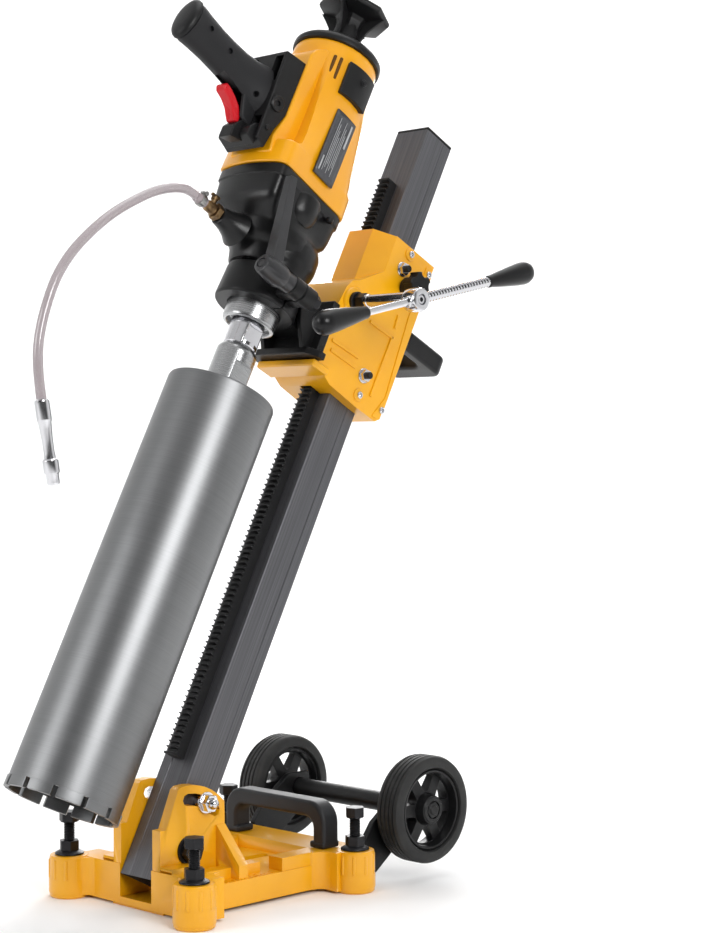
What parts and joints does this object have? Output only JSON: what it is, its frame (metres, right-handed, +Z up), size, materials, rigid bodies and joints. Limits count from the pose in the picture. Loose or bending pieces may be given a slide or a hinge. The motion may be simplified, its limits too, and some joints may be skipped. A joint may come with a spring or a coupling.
{
  "type": "core drill rig",
  "caption": "Wet core drill on a tilting rack column with a cranked carriage, standing on a wheeled base with levelling screws.",
  "frame": {"origin": "middle of the base's underside, on the flat pad between the four feet", "axes": "+Z up, +X towards the crank, +Y towards the wheels; the drill is on the -Y side"},
  "size_m": [0.2815, 0.6235, 0.993],
  "materials": {
    "yellow_cast": "satin yellow enamel on an aluminium casting",
    "yellow_plastic": "smooth yellow glass-filled nylon",
    "black_plastic": "fine-textured black plastic",
    "black_cast": "black powder coat on a casting",
    "black_steel": "black oxide steel",
    "column_grey": "dark hard-anodised extrusion",
    "chrome": "bright chrome plate",
    "steel": "turned and ground steel",
    "brass": "dull brass",
    "rubber": "matt black rubber",
    "red_plastic": "smooth red plastic",
    "copper": "enamelled copper winding",
    "clear_hose": "milky reinforced vinyl"
  },
  "bodies": {
    "base": {"base_casting": "yellow_cast", "levelling_nut_front_left": "black_steel", "levelling_nut_front_right": "black_steel", "levelling_nut_rear_left": "black_steel", "levelling_nut_rear_right": "black_steel", "carry_handle": "black_plastic", "wheel_bracket": "black_steel", "axle": "black_steel", "pivot_bolt": "black_steel", "pivot_nut": "black_steel"},
    "screw_front_left": {"levelling_screw_front_left": "black_steel"},
    "screw_front_right": {"levelling_screw_front_right": "black_steel"},
    "screw_rear_left": {"levelling_screw_rear_left": "black_steel"},
    "screw_rear_right": {"levelling_screw_rear_right": "black_steel"},
    "wheel_left": {"wheel_left": "black_plastic", "tyre_left": "rubber"},
    "wheel_right": {"wheel_right": "black_plastic", "tyre_right": "rubber"},
    "mast": {"column": "column_grey", "column_cap": "black_plastic", "rack": "black_steel", "tilt_bolt": "chrome", "tilt_nut": "chrome"},
    "carriage": {"carriage_housing": "yellow_cast", "glide_screw_upper": "chrome", "glide_screw_lower": "chrome", "carriage_handle": "black_plastic", "clamp_bracket": "black_cast", "clamp_nut": "black_steel", "clamping_neck": "steel", "gearbox_housing": "black_cast", "motor_housing": "yellow_plastic", "motor_end_cap": "black_plastic", "rear_stand": "black_plastic", "brush_cover_left": "black_plastic", "brush_cover_right": "black_plastic", "switch_box": "black_plastic", "pistol_grip": "black_plastic", "grip_cap": "black_plastic", "field_stack": "black_steel", "water_inlet": "brass", "water_hose": "clear_hose", "hose_coupler": "chrome"},
    "crank": {"pinion_shaft": "black_steel", "crank_hub": "chrome", "crank_bar": "chrome", "crank_grip_front": "black_plastic", "crank_grip_rear": "black_plastic"},
    "clamp_lever": {"clamp_lever": "black_cast"},
    "lock_knob": {"lock_knob": "black_plastic"},
    "trigger": {"trigger": "red_plastic"},
    "spindle": {"spindle": "chrome", "spindle_gear": "steel", "core_bit": "steel", "bit_hub": "steel"},
    "layshaft": {"layshaft": "steel"},
    "armature": {"armature": "copper"}
  },
  "joints": [
    {"name": "mast_tilt", "type": "hinge", "parent": "base", "child": "mast", "pos_m": [0, -0.0667, 0.0615], "axis": [1, 0, 0], "range_deg": [-17.6, 27.4]},
    {"name": "carriage_feed", "type": "slide", "parent": "mast", "child": "carriage", "axis": [0, 0.4605, 0.8877], "range_m": [-0.43, 0.13]},
    {"name": "crank_spin", "type": "hinge", "parent": "carriage", "child": "crank", "pos_m": [0, 0.17815, 0.64051], "axis": [1, 0, 0], "range_deg": [-625, 2060]},
    {"name": "spindle_spin", "type": "hinge", "parent": "carriage", "child": "spindle", "pos_m": [0, 0.01462, 0.53528], "axis": [0, 0.4605, 0.8877], "continuous": true},
    {"name": "layshaft_spin", "type": "hinge", "parent": "carriage", "child": "layshaft", "pos_m": [0.02918, 0.10087, 0.73837], "axis": [0, 0.4605, 0.8877], "continuous": true},
    {"name": "armature_spin", "type": "hinge", "parent": "carriage", "child": "armature", "pos_m": [0, 0.14511, 0.82808], "axis": [0, 0.4605, 0.8877], "continuous": true},
    {"name": "clamp_lever_turn", "type": "hinge", "parent": "carriage", "child": "clamp_lever", "pos_m": [0.062, 0.0584, 0.65226], "axis": [0, 0.8877, -0.4605], "range_deg": [0, 100]},
    {"name": "lock_knob_turn", "type": "hinge", "parent": "carriage", "child": "lock_knob", "pos_m": [0.05, 0.26292, 0.65994], "axis": [1, 0, 0], "range_deg": [0, 180]},
    {"name": "trigger_squeeze", "type": "slide", "parent": "carriage", "child": "trigger", "axis": [0, 0.4605, 0.8877], "range_m": [0, 0.006], "stiffness_N_per_m": 800, "springref_m": -0.002},
    {"name": "wheel_left_roll", "type": "hinge", "parent": "base", "child": "wheel_left", "pos_m": [-0.1125, 0.2096, 0.0776], "axis": [1, 0, 0], "continuous": true},
    {"name": "wheel_right_roll", "type": "hinge", "parent": "base", "child": "wheel_right", "pos_m": [0.1125, 0.2096, 0.0776], "axis": [1, 0, 0], "continuous": true},
    {"name": "levelling_front_left", "type": "slide", "parent": "base", "child": "screw_front_left", "axis": [0, 0, 1], "range_m": [-0.018, 0.01]},
    {"name": "levelling_front_right", "type": "slide", "parent": "base", "child": "screw_front_right", "axis": [0, 0, 1], "range_m": [-0.018, 0.01]},
    {"name": "levelling_rear_left", "type": "slide", "parent": "base", "child": "screw_rear_left", "axis": [0, 0, 1], "range_m": [-0.018, 0.01]},
    {"name": "levelling_rear_right", "type": "slide", "parent": "base", "child": "screw_rear_right", "axis": [0, 0, 1], "range_m": [-0.018, 0.01]}
  ],
  "couplings": [
    {"joint": "crank_spin", "follows": "carriage_feed", "rad_per_m": -83.333},
    {"joint": "layshaft_spin", "follows": "spindle_spin", "ratio": -2.4615},
    {"joint": "armature_spin", "follows": "spindle_spin", "ratio": 7.1385}
  ]
}
